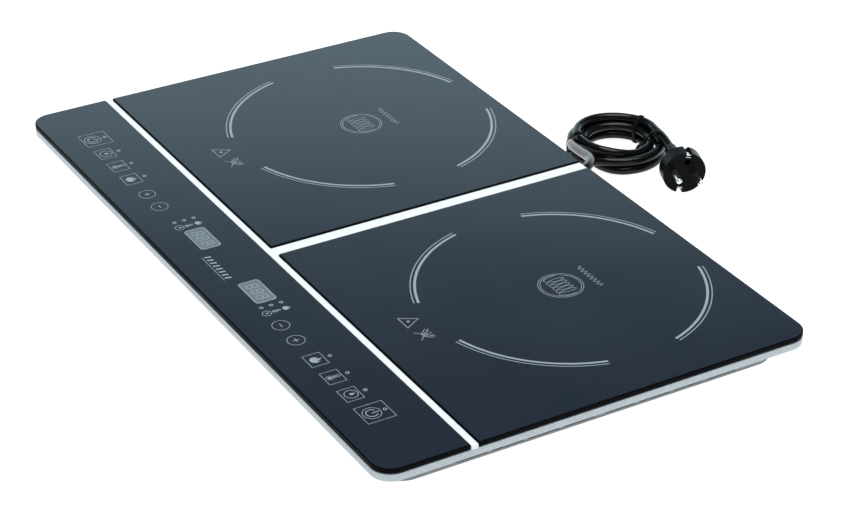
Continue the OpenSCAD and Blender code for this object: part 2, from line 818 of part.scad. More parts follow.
module cord_ties() {
    color([0.08, 0.08, 0.08]) for (a = tie_turns) translate([coil_x, coil_y, 0]) rotate(a) difference() {
        block(coil_in - tie_gap - tie_t, -tie_w / 2, 0,
            coil_out + tie_gap + tie_t, tie_w / 2, coil_z + coil_h + tie_gap + tie_t);
        block(coil_in - tie_gap, -tie_w, tie_t, coil_out + tie_gap, tie_w, coil_z + coil_h + tie_gap);
    }
}

module plug_body() {
    back = -plug_l - plug_boot;
    bore = cord_d / 2 + cord_fit;
    color("black") at_plug() difference() {
        rotate([0, 90, 0]) rotate_extrude()
            polygon([[0, back], [bore + 0.9, back], [7, -plug_l - 1], [10, -plug_l], [16, 5 - plug_l],
                [plug_r, 9 - plug_l], [plug_r, 0], [0, 0]]);
        translate([back - 1, 0, 0]) rotate([0, 90, 0]) cylinder(h = plug_boot + 3, r = bore);
        for (s = [-1, 1]) {
            translate([-plug_l, -2.6, s * (plug_r - 2.5) - 2.5]) cube([plug_l + 1, 5.2, 5]);
            translate([-pin_root_l, s * pin_pitch / 2, 0]) rotate([0, 90, 0])
                cylinder(h = pin_root_l + 1, r = pin_r - 0.48);
        }
        translate([-14, 0, 10]) rotate([0, 90, 0]) cylinder(h = 15, r = 2.5);
    }
}

module plug_pins() {
    color("gainsboro") at_plug() for (s = [-1, 1]) translate([0, s * pin_pitch / 2, 0])
        rotate([0, 90, 0]) rotate_extrude()
            polygon([[0, 0.1 - pin_root_l], [pin_r - 0.5, 0.1 - pin_root_l], [pin_r - 0.5, 0], [pin_r, 0],
                [pin_r, pin_l - 1.5], [pin_r - 1.2, pin_l], [0, pin_l]]);
}

module plug_earth_clips() {
    color("gold") at_plug() for (s = [0, 1]) mirror([0, 0, s])
        translate([-8.5, -2.1, plug_r - 4.9]) {
            cube([7.5, 4.2, 0.8]);
            translate([1.5, 0, 0.4]) cube([1, 4.2, 1.8]);
            translate([1.5, 0, 1.8]) cube([5, 4.2, 0.7]);
        }
}

module mica_sheet_left() { mica_sheet(-1); }
module mica_sheet_right() { mica_sheet(1); }
module coil_winding_left() { coil_winding(-1); }
module coil_winding_right() { coil_winding(1); }
module coil_carrier_left() { coil_carrier(-1); }
module coil_carrier_right() { coil_carrier(1); }
module ferrite_bars_left() { ferrite_bars(-1); }
module ferrite_bars_right() { ferrite_bars(1); }
module glass_sensor_left() { glass_sensor(-1); }
module glass_sensor_right() { glass_sensor(1); }
module carrier_springs_left() { carrier_springs(-1); }
module carrier_springs_right() { carrier_springs(1); }
module coil_leads_left() { coil_leads(-1); }
module coil_leads_right() { coil_leads(1); }
module power_board_left() { power_board(-1); }
module power_board_right() { power_board(1); }
module heat_sink_left() { heat_sink(-1); }
module heat_sink_right() { heat_sink(1); }
module power_devices_left() { power_devices(-1); }
module power_devices_right() { power_devices(1); }
module board_capacitors_left() { board_capacitors(-1); }
module board_capacitors_right() { board_capacitors(1); }
module filter_choke_left() { filter_choke(-1); }
module filter_choke_right() { filter_choke(1); }
module blower_housing_left() { blower_housing(-1); }
module blower_housing_right() { blower_housing(1); }
module blower_rotor_left() { blower_rotor(-1); }
module blower_rotor_right() { blower_rotor(1); }

top_frame();
bottom_pan();
control_glass();
cooking_glass_left();
cooking_glass_right();
glass_adhesive();
foot_front_left();
foot_front_right();
foot_rear_left();
foot_rear_right();
case_screws();
cord_gland();
cord_clamp();
inner_screws();
terminal_block();
supply_wires();
touch_board();
touch_tray();
touch_springs();
display_left();
display_right();
indicator_leds();
buzzer();
ribbon_cables();
mica_sheet_left();
mica_sheet_right();
coil_winding_left();
coil_winding_right();
coil_carrier_left();
coil_carrier_right();
ferrite_bars_left();
ferrite_bars_right();
glass_sensor_left();
glass_sensor_right();
carrier_springs_left();
carrier_springs_right();
coil_leads_left();
coil_leads_right();
power_board_left();
power_board_right();
heat_sink_left();
heat_sink_right();
power_devices_left();
power_devices_right();
board_capacitors_left();
board_capacitors_right();
filter_choke_left();
filter_choke_right();
blower_housing_left();
blower_housing_right();
blower_rotor_left();
blower_rotor_right();
mains_cord_lead();
cord_coil();
mains_cord_tail();
cord_ties();
plug_body();
plug_pins();
plug_earth_clips();
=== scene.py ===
"""Looks of the double induction cooktop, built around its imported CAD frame.

Lengths are metres in the row frame: +X right, +Y back, +Z up, the floor at z = 0. Tables and
prints say so where they hold millimetres, which MM brings to metres; prints are measured from
the glass's front-left corner.
"""

import math

import bpy
from mathutils import Matrix, Vector


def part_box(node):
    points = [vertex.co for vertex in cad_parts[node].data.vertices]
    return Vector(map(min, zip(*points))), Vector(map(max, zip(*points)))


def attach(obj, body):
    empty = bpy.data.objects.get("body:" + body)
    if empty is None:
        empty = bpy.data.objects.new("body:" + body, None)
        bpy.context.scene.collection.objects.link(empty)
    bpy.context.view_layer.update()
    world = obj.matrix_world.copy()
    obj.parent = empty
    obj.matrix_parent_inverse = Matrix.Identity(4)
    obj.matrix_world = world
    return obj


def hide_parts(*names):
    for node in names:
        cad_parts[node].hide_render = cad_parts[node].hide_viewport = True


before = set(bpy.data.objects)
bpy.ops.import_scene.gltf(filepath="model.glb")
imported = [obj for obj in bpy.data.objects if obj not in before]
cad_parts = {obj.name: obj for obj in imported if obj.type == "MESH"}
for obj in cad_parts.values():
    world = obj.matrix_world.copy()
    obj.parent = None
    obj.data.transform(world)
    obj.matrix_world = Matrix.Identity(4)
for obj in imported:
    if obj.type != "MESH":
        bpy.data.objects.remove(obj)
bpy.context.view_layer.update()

MM = 0.001
HOUSING = "housing"

# ---------- camera ----------

CAMERA_PLACE = (1.51312, -0.85873, 1.02658)
CAMERA_RIGHT = (0.503307, 0.864103, 0.002739)
CAMERA_UP = (-0.432729, 0.249302, 0.866368)
CAMERA_BACK = (0.747949, -0.437235, 0.499398)
LENS_MM = 109.19
SENSOR_MM = 36


def make_camera():
    data = bpy.data.cameras.new("camera")
    data.lens = LENS_MM
    data.sensor_width = SENSOR_MM
    data.clip_start = 0.01
    camera = bpy.data.objects.new("camera", data)
    turn = Matrix((CAMERA_RIGHT, CAMERA_UP, CAMERA_BACK)).transposed().to_4x4()
    camera.matrix_world = Matrix.Translation(CAMERA_PLACE) @ turn
    bpy.context.scene.collection.objects.link(camera)
    bpy.context.scene.camera = camera


make_camera()

# ---------- making objects ----------


def add_object(name, data, material, body=HOUSING):
    """A new object in the scene with one material, riding on a body unless that is None."""
    made = bpy.data.objects.new(name, data)
    bpy.context.scene.collection.objects.link(made)
    data.materials.append(material)
    if body:
        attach(made, body)
    return made


def add_mesh(name, points, faces, material, smooth=True, body=HOUSING):
    mesh = bpy.data.meshes.new(name)
    mesh.from_pydata([tuple(p) for p in points], [], faces)
    mesh.update()
    mesh.polygons.foreach_set("use_smooth", [smooth] * len(mesh.polygons))
    return add_object(name, mesh, material, body)


def add_bevel(made, width, segments=3, angle=30):
    bevel = made.modifiers.new("bevel", "BEVEL")
    bevel.width = width
    bevel.segments = segments
    bevel.limit_method = "ANGLE"
    bevel.angle_limit = math.radians(angle)
    bevel.harden_normals = True


def joined_rings(rings, closed_path=False):
    """Points and faces of a skin over rings of equal length; an open path gets a face at each end."""
    count = len(rings[0])
    points = [p for ring in rings for p in ring]
    faces = []
    for i in range(len(rings) if closed_path else len(rings) - 1):
        a, b = i * count, (i + 1) % len(rings) * count
        for k in range(count):
            n = (k + 1) % count
            faces.append((a + k, a + n, b + n, b + k))
    if not closed_path:
        faces.append(tuple(reversed(range(count))))
        faces.append(tuple(range(len(points) - count, len(points))))
    return points, faces


def rounded_outline(low, high, radii, steps=14):
    """A rectangle's outline, counter-clockwise from the front left, as the radii are too."""
    corners = [(low[0], low[1]), (high[0], low[1]), (high[0], high[1]), (low[0], high[1])]
    inward = [(1, 1), (-1, 1), (-1, -1), (1, -1)]
    outline = []
    for i, (corner, way, r) in enumerate(zip(corners, inward, radii)):
        centre = (corner[0] + way[0] * r, corner[1] + way[1] * r)
        for k in range(steps + 1):
            a = math.radians(180 + 90 * i + 90 * k / steps)
            outline.append((centre[0] + r * math.cos(a), centre[1] + r * math.sin(a)))
    return outline


def prism(name, outline, z0, z1, material):
    rings = [[(x, y, z) for x, y in outline] for z in (z0, z1)]
    points, faces = joined_rings(rings)
    return add_mesh(name, points, faces, material)


# ---------- materials ----------


def new_material(name, colour, roughness, metallic=0.0, **sockets):
    """(material, its node tree, its shader); further sockets are set by name with _ for a space."""
    made = bpy.data.materials.new(name)
    made.use_nodes = True
    tree = made.node_tree
    shader = tree.nodes["Principled BSDF"]
    shader.inputs["Base Color"].default_value = (*colour, 1)
    shader.inputs["Roughness"].default_value = roughness
    shader.inputs["Metallic"].default_value = metallic
    for socket, value in sockets.items():
        shader.inputs[socket.replace("_", " ")].default_value = value
    return made, tree, shader


def noise(tree, scale, stretch=(1, 1, 1), detail=3.0):
    """The output of a noise texture in the object's own coordinates; scale is in features per metre."""
    place = tree.nodes.new("ShaderNodeTexCoord")
    mapping = tree.nodes.new("ShaderNodeMapping")
    mapping.inputs["Scale"].default_value = stretch
    tree.links.new(place.outputs["Object"], mapping.inputs["Vector"])
    texture = tree.nodes.new("ShaderNodeTexNoise")
    texture.inputs["Scale"].default_value = scale
    texture.inputs["Detail"].default_value = detail
    tree.links.new(mapping.outputs["Vector"], texture.inputs["Vector"])
    return texture.outputs["Fac"]


def spread(tree, value, low, high):
    """value, which runs from 0.3 to 0.7 as noise does, brought to run from low to high."""
    span = tree.nodes.new("ShaderNodeMapRange")
    span.inputs["From Min"].default_value = 0.3
    span.inputs["From Max"].default_value = 0.7
    span.inputs["To Min"].default_value = low
    span.inputs["To Max"].default_value = high
    tree.links.new(value, span.inputs["Value"])
    return span.outputs["Result"]


def mixed(tree, factor, dark, light):
    mix = tree.nodes.new("ShaderNodeMix")
    mix.data_type = "RGBA"
    mix.inputs["A"].default_value = (*dark, 1)
    mix.inputs["B"].default_value = (*light, 1)
    tree.links.new(factor, mix.inputs["Factor"])
    return mix.outputs["Result"]


def bumped(tree, shader, height, strength, distance):
    bump = tree.nodes.new("ShaderNodeBump")
    bump.inputs["Strength"].default_value = strength
    bump.inputs["Distance"].default_value = distance
    tree.links.new(height, bump.inputs["Height"])
    tree.links.new(bump.outputs["Normal"], shader.inputs["Normal"])


def textured(name, colour, roughness, metallic=0.0, vary=0.12, rough_vary=0.08, scale=900,
             stretch=(1, 1, 1), bump=0.15, depth=0.0001, **sockets):
    """A material whose colour, roughness and surface all carry a fine grain."""
    made, tree, shader = new_material(name, colour, roughness, metallic, **sockets)
    grain = noise(tree, scale, stretch)
    patches = noise(tree, 35, detail=2)
    dark = [c * (1 - vary) for c in colour]
    light = [min(1, c * (1 + vary)) for c in colour]
    tree.links.new(mixed(tree, spread(tree, grain, 0, 1), dark, light), shader.inputs["Base Color"])
    rough = spread(tree, patches, max(0.02, roughness - rough_vary), min(1, roughness + rough_vary))
    tree.links.new(rough, shader.inputs["Roughness"])
    bumped(tree, shader, grain, bump, depth)
    return made


def glass_material():
    """Dark satin glass-ceramic with a faint lighter speckle and a finely pitted surface."""
    made, tree, shader = new_material("glass_ceramic", (0.003, 0.008, 0.02), 0.25, IOR=1.5)
    speck = noise(tree, 1400, detail=1)
    cloud = noise(tree, 9, detail=2)
    base = mixed(tree, spread(tree, speck, 0, 1), (0.002, 0.006, 0.015), (0.004, 0.011, 0.027))
    tree.links.new(base, shader.inputs["Base Color"])
    tree.links.new(spread(tree, cloud, 0.23, 0.27), shader.inputs["Roughness"])
    bumped(tree, shader, speck, 0.06, 0.00005)
    return made


def satin_metal(name, dark, light, metallic):
    """Silver lacquered metal, faintly brushed along the rims and bars."""
    made, tree, shader = new_material(name, light, 0.45, metallic)
    along = noise(tree, 500, stretch=(0.03, 1, 1))
    cloud = noise(tree, 20, detail=2)
    tree.links.new(mixed(tree, spread(tree, along, 0, 1), dark, light), shader.inputs["Base Color"])
    tree.links.new(spread(tree, cloud, 0.40, 0.50), shader.inputs["Roughness"])
    bumped(tree, shader, along, 0.05, 0.00003)
    return made


GLASS = glass_material()
GLASS_EDGE = textured("glass_edge", (0.0015, 0.002, 0.003), 0.5, Specular_IOR_Level=0.03, bump=0.1)
METAL = satin_metal("frame_metal", (0.40, 0.455, 0.485), (0.475, 0.535, 0.565), 0.4)
# The divider's copy of the frame metal is much lighter than the rim's: painted highlight for the light its top
# catches from above.
LIT_DIVIDER_METAL = satin_metal("divider_metal_painted_highlight", (0.80, 0.82, 0.82), (0.88, 0.89, 0.89), 0.1)
PRINT = textured("print_light", (0.27, 0.31, 0.34), 0.55, vary=0.06, scale=1500, bump=0.05)
PRINT_FIELD = textured("print_field", (0.10, 0.135, 0.165), 0.5, vary=0.08, scale=1500, bump=0.05)
SHEATH = textured("cord_sheath", (0.0025, 0.0027, 0.0032), 0.2, vary=0.2, scale=700, rough_vary=0.05,
                  bump=0.08, depth=0.00004, Specular_IOR_Level=0.22)
PLUG_BLACK = textured("plug_black", (0.0012, 0.0015, 0.0024), 0.34, vary=0.2, scale=1800,
                      bump=0.2, Specular_IOR_Level=0.07)
NICKEL = textured("plug_nickel", (0.80, 0.79, 0.76), 0.2, 1.0, vary=0.04, scale=600, bump=0.05)
TIE_BLACK = textured("tie_black", (0.004, 0.004, 0.005), 0.5, vary=0.25, scale=1200, bump=0.3,
                     Specular_IOR_Level=0.12)

NODE_MATERIALS = [
    (textured("pan_plastic", (0.20, 0.215, 0.225), 0.5, vary=0.08, scale=1600, bump=0.35), ["bottom_pan"]),
    (textured("black_silicone", (0.01, 0.01, 0.011), 0.5, bump=0.2), ["glass_adhesive"]),
    (textured("foot_rubber", (0.022, 0.022, 0.023), 0.75, vary=0.2, scale=1300, bump=0.4),
     ["foot_front_left", "foot_front_right", "foot_rear_left", "foot_rear_right"]),
    (textured("plated_steel", (0.60, 0.61, 0.62), 0.3, 1.0, vary=0.1, scale=400),
     ["case_screws", "inner_screws", "touch_springs", "carrier_springs_left", "carrier_springs_right"]),
    (textured("white_nylon", (0.70, 0.69, 0.65), 0.45, vary=0.05, scale=900),
     ["cord_clamp", "terminal_block", "touch_tray", "glass_sensor_left", "glass_sensor_right"]),
    (textured("black_nylon", (0.02, 0.02, 0.022), 0.42, vary=0.2, scale=1500, bump=0.3),
     ["cord_gland", "coil_carrier_left", "coil_carrier_right", "blower_housing_left",
      "blower_housing_right", "blower_rotor_left", "blower_rotor_right", "buzzer",
      "power_devices_left", "power_devices_right"]),
    (textured("circuit_board", (0.02, 0.12, 0.045), 0.35, vary=0.35, scale=260, bump=0.1),
     ["touch_board", "power_board_left", "power_board_right"]),
    (textured("display_black", (0.012, 0.012, 0.014), 0.25, vary=0.2), ["display_left", "display_right"]),
    (textured("led_red", (0.35, 0.015, 0.012), 0.2, vary=0.1), ["indicator_leds"]),
    (textured("ribbon_grey", (0.45, 0.46, 0.48), 0.45, vary=0.12, scale=700, stretch=(1, 0.02, 0.02)),
     ["ribbon_cables"]),
    (textured("wire_brown", (0.12, 0.045, 0.02), 0.35), ["supply_wires"]),
    (textured("mica", (0.50, 0.45, 0.33), 0.4, vary=0.25, scale=180, bump=0.2),
     ["mica_sheet_left", "mica_sheet_right"]),
    (textured("copper_litz", (0.60, 0.26, 0.12), 0.4, 0.8, vary=0.25, scale=1500, bump=0.5),
     ["coil_winding_left", "coil_winding_right", "coil_leads_left", "coil_leads_right"]),
    (textured("ferrite", (0.035, 0.035, 0.038), 0.6, vary=0.2, scale=1200, bump=0.4),
     ["ferrite_bars_left", "ferrite_bars_right"]),
    (textured("sink_aluminium", (0.78, 0.79, 0.80), 0.38, 1.0, vary=0.06, scale=500,
              stretch=(1, 0.04, 1)), ["heat_sink_left", "heat_sink_right"]),
    (textured("capacitor_film", (0.55, 0.25, 0.04), 0.35, vary=0.08),
     ["board_capacitors_left", "board_capacitors_right"]),
    (textured("choke_winding", (0.50, 0.24, 0.08), 0.35, 0.7, vary=0.3, scale=900, bump=0.5),
     ["filter_choke_left", "filter_choke_right"]),
    (METAL, ["top_frame"]),
    (NICKEL, ["plug_pins", "plug_earth_clips"]),
    (PLUG_BLACK, ["plug_body"]),
]


def dress_nodes():
    for material, names in NODE_MATERIALS:
        for name in names:
            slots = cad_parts[name].data.materials
            slots.clear()
            slots.append(material)


dress_nodes()

# ---------- mains cord ----------

CORD_D = 0.008
COIL_CENTRE = Vector((-0.0915, 0.275, 0))
COIL_START = 248  # degrees; the turns run clockwise from here
COIL_TURNS = 4.494
TURN_STEPS = 18
# Both ends of the cord, in mm: from inside the pan to the coil, and from the coil into the plug
LEAD = [(-16, 140, 42), (-16, 158, 42), (-16, 170, 42), (-16, 180, 42), (-17.5, 190, 41.5),
        (-24, 200.5, 40.5), (-34, 208.5, 38.5), (-46, 213.5, 35.5), (-59, 217.5, 31.5),
        (-72, 221.5, 27.5), (-84, 226, 23.5), (-97, 232, 19)]
TAIL = [(-67, 305, 20.6), (-51, 301.6, 19), (-40, 298, 18.5), (-29, 294, 18.5)]
# Turns from the start of the winding, with its radius and height there in mm
WINDING = [(0, 39, 14.3), (0.15, 38.8, 13), (0.8, 38.8, 13), (0.97, 38.8, 5), (1.75, 38.8, 5),
           (1.93, 29.5, 5), (2.65, 29, 5), (2.85, 28.5, 13), (3.65, 28.5, 13.2), (3.85, 33, 19.5),
           (4.1, 34.5, 20), (4.3, 33.6, 19.2), (4.494, 34, 20.5)]


def winding_at(turns):
    """(radius, height) of the winding in metres, eased between the points of WINDING."""
    for (t0, r0, z0), (t1, r1, z1) in zip(WINDING, WINDING[1:]):
        if turns <= t1:
            break
    share = min(1, max(0, (turns - t0) / (t1 - t0)))
    ease = share * share * (3 - 2 * share)
    return (r0 + (r1 - r0) * ease) * MM, (z0 + (z1 - z0) * ease) * MM


def coil_point(turns):
    r, z = winding_at(turns)
    a = math.radians(COIL_START - 360 * turns)
    return COIL_CENTRE + Vector((r * math.cos(a), r * math.sin(a), z))


def cord_route():
    count = round(COIL_TURNS * TURN_STEPS)
    coil = [coil_point(COIL_TURNS * i / count) for i in range(count + 1)]
    return [Vector(p) * MM for p in LEAD] + coil + [Vector(p) * MM for p in TAIL]


def make_cord(route):
    data = bpy.data.curves.new("mains_cord", "CURVE")
    data.dimensions = "3D"
    data.bevel_depth = CORD_D / 2
    data.bevel_resolution = 6
    data.resolution_u = 5
    data.use_fill_caps = True
    spline = data.splines.new("BEZIER")
    spline.bezier_points.add(len(route) - 1)
    for point, place in zip(spline.bezier_points, route):
        point.co = place
        point.handle_left_type = point.handle_right_type = "AUTO"
    cord = add_object("mains_cord", data, SHEATH)
    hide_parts("mains_cord_lead", "cord_coil", "mains_cord_tail")
    return cord


# ---------- cord ties ----------

BACK_TIE = 54
TIE_ANGLES = {BACK_TIE: "back", 109: "left", 248: "front"}
TIE_GAP = 0.0001
TIE_T = 0.0009
TIE_W = 0.003
TIE_ROUND = 0.00025
END_REACH = 0.05  # turns; a tie this near the end of the winding still holds it


def crossings(angle):
    """(radius, height) of each pass of the coil through the upright half-plane at that angle."""
    first = (COIL_START - angle) % 360 / 360
    passes = range(math.ceil(COIL_TURNS) + 1)
    return [winding_at(first + k) for k in passes if first + k <= COIL_TURNS + END_REACH]


def hull_loop(centres, r, steps=48):
    """The loop that a band drawn tight at distance r round the centres makes."""
    loop = []
    for k in range(steps):
        a = 2 * math.pi * k / steps
        way = (math.cos(a), math.sin(a))
        c = max(centres, key=lambda p: p[0] * way[0] + p[1] * way[1])
        loop.append((c[0] + r * way[0], c[1] + r * way[1]))
    return loop


def make_tie(name, angle):
    centres = crossings(angle)
    inner = hull_loop(centres, CORD_D / 2 + TIE_GAP)
    outer = hull_loop(centres, CORD_D / 2 + TIE_GAP + TIE_T)
    turn = Matrix.Rotation(math.radians(angle), 4, "Z")

    def ring(loop, y):
        return [COIL_CENTRE + turn @ Vector((r, y, z)) for r, z in loop]

    half = TIE_W / 2
    rings = [ring(inner, -half), ring(outer, -half), ring(outer, half), ring(inner, half)]
    points, faces = joined_rings(rings, closed_path=True)
    tie = add_mesh(name, points, faces, TIE_BLACK)
    add_bevel(tie, TIE_ROUND, 2)
    return tie


# Path of the back tie's free end, as radius and height in mm, down the inside of the coil
TIE_TAIL = [(24.6, 12), (22, 11.2), (19.2, 9), (17.6, 6), (17.6, 2.4)]
TIE_TAIL_W = 0.0044
TIE_TAIL_T = 0.0024
TIE_TAIL_ROUND = 0.0004
KNOT = 1  # the tail is widest at this point of its path
KNOT_SPREAD = 1.25


def make_tie_tail(angle):
    turn = Matrix.Rotation(math.radians(angle), 4, "Z")
    rings = []
    thick = TIE_TAIL_T / 2
    for i, (r, z) in enumerate(TIE_TAIL):
        half = TIE_TAIL_W / 2 * (KNOT_SPREAD if i == KNOT else 1)
        corners = [(-thick, -half), (thick, -half), (thick, half), (-thick, half)]
        rings.append([COIL_CENTRE + turn @ Vector((r * MM + x, y, z * MM)) for x, y in corners])
    points, faces = joined_rings(rings)
    tail = add_mesh("cord_tie_tail", points, faces, TIE_BLACK)
    add_bevel(tail, TIE_TAIL_ROUND, 2)
    return tail


# ---------- plug ----------

PLUG_FACE = Vector((-0.006, 0.2856, 0.0185))
PLUG_AXIS = Vector((0.939693, -0.342020, 0))
# Distance behind the plug's face and radius of each rib on its boot, in mm
BOOT_RIBS = [(24, 7.3), (27, 6.9), (30, 6.5), (33, 6.1)]
RIB_R = 0.0009
RIB_STEPS, RIB_SIDES = 32, 10


def make_boot_ribs():
    """Rings round the boot, where the cord enters the plug."""
    side = Vector((-PLUG_AXIS.y, PLUG_AXIS.x, 0))
    up = Vector((0, 0, 1))
    points, faces = [], []
    for back, r in BOOT_RIBS:
        rings = []
        for k in range(RIB_STEPS):
            a = 2 * math.pi * k / RIB_STEPS
            out = side * math.cos(a) + up * math.sin(a)
            rings.append([PLUG_FACE - PLUG_AXIS * back * MM + out * r * MM
                          + (out * math.cos(b) + PLUG_AXIS * math.sin(b)) * RIB_R
                          for b in (2 * math.pi * j / RIB_SIDES for j in range(RIB_SIDES))])
        more, sides = joined_rings(rings, closed_path=True)
        faces += [tuple(i + len(points) for i in face) for face in sides]
        points += more
    ribs = add_mesh("plug_boot_ribs", points, faces, PLUG_BLACK)
    return ribs


cord_points = cord_route()
mains_cord = make_cord(cord_points)
ties = [make_tie(f"cord_tie_{name}", angle) for angle, name in TIE_ANGLES.items()]
for tie in ties:
    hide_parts("cord_ties")
extras = [make_tie_tail(BACK_TIE), make_boot_ribs()]

# ---------- glass panels ----------

CORNER_R = 0.016
INNER_R = 0.001
GLASS_SINK = 0.00006  # the glass lies this far below the CAD's top, which leaves room for the print
GLASS_ROUND = 0.0009


def make_glass(node, radii):
    low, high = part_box(node)
    outline = rounded_outline(low, high, radii)
    panel = prism(node + "_panel", outline, low.z, high.z - GLASS_SINK, GLASS)
    panel.data.materials.append(GLASS_EDGE)
    for face in panel.data.polygons:
        face.material_index = 0 if face.normal.z > 0.5 else 1
    add_bevel(panel, GLASS_ROUND, 4)
    panel.modifiers["bevel"].material = 1
    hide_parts(node)


make_glass("control_glass", (CORNER_R, CORNER_R, INNER_R, INNER_R))
make_glass("cooking_glass_left", (INNER_R, INNER_R, INNER_R, CORNER_R))
make_glass("cooking_glass_right", (INNER_R, INNER_R, CORNER_R, INNER_R))

# ---------- prints ----------

FRONT_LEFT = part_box("control_glass")[0]
PRINT_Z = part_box("control_glass")[1].z - GLASS_SINK
LAYER = 0.00002
RING_STEP = 6  # degrees; a third of it on rings larger than LARGE_R
LARGE_R = 50
DISC_STEP = 15
MITRE = 0.4


class Print:
    """Flat marks, collected in millimetres from the glass's front-left corner, and made as one mesh."""

    def __init__(self, origin=(0, 0)):
        self.origin = origin
        self.points = []
        self.faces = []

    def area(self, outline):
        """A filled outline."""
        start = len(self.points)
        self.points += [(self.origin[0] + x, self.origin[1] + y) for x, y in outline]
        self.faces.append(tuple(range(start, len(self.points))))

    def line(self, path, width, closed=False):
        """A line of that width along a path, mitred at its bends but no further than MITRE allows."""
        count = len(path)
        left, right = [], []
        for i, (x, y) in enumerate(path):
            before = path[i - 1] if closed or i > 0 else None
            after = path[(i + 1) % count] if closed or i < count - 1 else None
            ways = [unit(a, b) for a, b in ((before, (x, y)), ((x, y), after)) if a and b]
            normals = [(-wy, wx) for wx, wy in ways]
            mean = unit((0, 0), [sum(n[k] for n in normals) for k in (0, 1)])
            reach = width / 2 / max(MITRE, mean[0] * normals[0][0] + mean[1] * normals[0][1])
            left.append((x + mean[0] * reach, y + mean[1] * reach))
            right.append((x - mean[0] * reach, y - mean[1] * reach))
        for i in range(count if closed else count - 1):
            n = (i + 1) % count
            self.area([left[i], right[i], right[n], left[n]])

    def ring(self, x, y, r, width, start=0, end=360):
        steps = max(8, round((end - start) / RING_STEP))
        if r > LARGE_R:
            steps *= 3
        arc = [(x + r * math.cos(a), y + r * math.sin(a))
               for a in (math.radians(start + (end - start) * k / steps) for k in range(steps + 1))]
        whole = end - start == 360
        self.line(arc[:-1] if whole else arc, width, closed=whole)

    def disc(self, x, y, r):
        turns = [math.radians(a) for a in range(0, 360, DISC_STEP)]
        self.area([(x + r * math.cos(a), y + r * math.sin(a)) for a in turns])

    def box(self, x, y, width, height, line):
        w, h = width / 2, height / 2
        self.line([(x - w, y - h), (x + w, y - h), (x + w, y + h), (x - w, y + h)], line, closed=True)

    def make(self, name, material, layer=1):
        z = PRINT_Z + layer * LAYER
        places = [(FRONT_LEFT.x + x * MM, FRONT_LEFT.y + y * MM, z) for x, y in self.points]
        made = add_mesh(name, places, self.faces, material, smooth=False)
        for face in made.data.polygons:
            if face.normal.z < 0:
                face.flip()


def unit(a, b):
    x, y = b[0] - a[0], b[1] - a[1]
    size = math.hypot(x, y) or 1
    return x / size, y / size


ZONE_CENTRES = {"left": (146.9, 236.5), "right": (453.1, 236.5)}
ZONE_ARCS = [(16.5, 75), (106, 163.5), (195, 253.5), (285, 345)]  # degrees
# Radius and line width of the broken rings round a zone and of the whole ones at its centre
ZONE_RINGS = [(109, 2.0), (112.4, 0.8)]
SYMBOL_RINGS = [(17.2, 0.5), (15.5, 0.45)]
COIL_LOOPS = 6
COIL_SAMPLES = 28
LOOP_PITCH, LOOP_W, LOOP_H = 4.3, 2.7, 8
WAVE_LEFT, WAVE_Y, WAVE_SWING, HALF_WAVE = -17, 26.4, 2.1, 2.1
WAVE_STEP, WAVE_POINTS = 0.25, 129
SIGN_Y = -123
FLAME = [(-3.2, -3.6), (-1.2, -4.6), (1.2, -4.6), (3.0, -3.4), (3.9, -1.2), (3.4, 0.8), (2.6, 2.4),
         (2.4, 0.6), (1.6, -0.4), (1.4, 1.8), (0.4, 3.6), (-0.6, 4.8), (-0.4, 2.6), (-1.2, 0.8),
         (-1.8, 1.2), (-2.0, 2.6), (-3.2, 0.8), (-3.8, -1.4)]


def coil_symbol(turns):
    """A place along a row of overlapping upright loops, as a coil seen from the side."""
    a = 2 * math.pi * turns
    return LOOP_PITCH * (turns - COIL_LOOPS / 2) - LOOP_W * math.sin(a), LOOP_H * math.cos(a)


def draw_zone(side):
    """The broken ring with its thin outer line, the coil symbol and the small marks of one zone."""
    cx, cy = ZONE_CENTRES[side]
    marks = Print((cx, cy))
    for start, end in ZONE_ARCS:
        for r, width in ZONE_RINGS:
            marks.ring(0, 0, r, width, start, end)
    for r, width in SYMBOL_RINGS:
        marks.ring(0, 0, r, width)
    marks.line([coil_symbol(k / COIL_SAMPLES) for k in range(COIL_LOOPS * COIL_SAMPLES + 1)], 0.42)
    along = [k * WAVE_STEP for k in range(WAVE_POINTS)]
    wave = [(WAVE_LEFT + x, WAVE_Y + WAVE_SWING * math.sin(x / HALF_WAVE * math.pi)) for x in along]
    marks.line(wave, 0.45)
    draw_triangle(marks, -12, SIGN_Y)
    draw_fan(marks, 9.5, SIGN_Y)
    marks.make(f"print_zone_{side}", PRINT)


def draw_triangle(marks, x, y):
    """A triangle with a dot."""
    marks.line([(x - 7.5, y - 6), (x + 7.5, y - 6), (x, y + 7)], 0.6, closed=True)
    marks.disc(x, y - 1.4, 1.2)


def draw_fan(marks, x, y):
    """Five lines fanned out, crossed through at their foot."""
    for a in (50, 70, 90, 110, 130):
        c, s = math.cos(math.radians(a)), math.sin(math.radians(a))
        marks.line([(x + 2 * c, y - 4 + 2 * s), (x + 10 * c, y - 4 + 10 * s)], 0.6)
    marks.line([(x - 6, y - 6), (x + 6, y + 6)], 0.5)
    marks.line([(x - 6, y + 6), (x + 6, y - 6)], 0.5)


# Heights on the control strip, in mm from its front edge
KEY_Y = 29.5
KEY_BOX_Y = 29.1
KEY_LAMP_Y = 40.7
POWER_Y, POWER_BOX_Y = 30.3, 32.7
DISPLAY_Y = 36.5
DISPLAY_SIZE = (32, 16.4)
DISPLAY_R = 2.6
DIGIT_STEP = 8.6
LAMP_ROWS = (44.7, 36.3, 28.3)
LAMP_R = 1.2
OPEN_TOP = (125, 415)  # a ring that is open at its top runs between these, in degrees


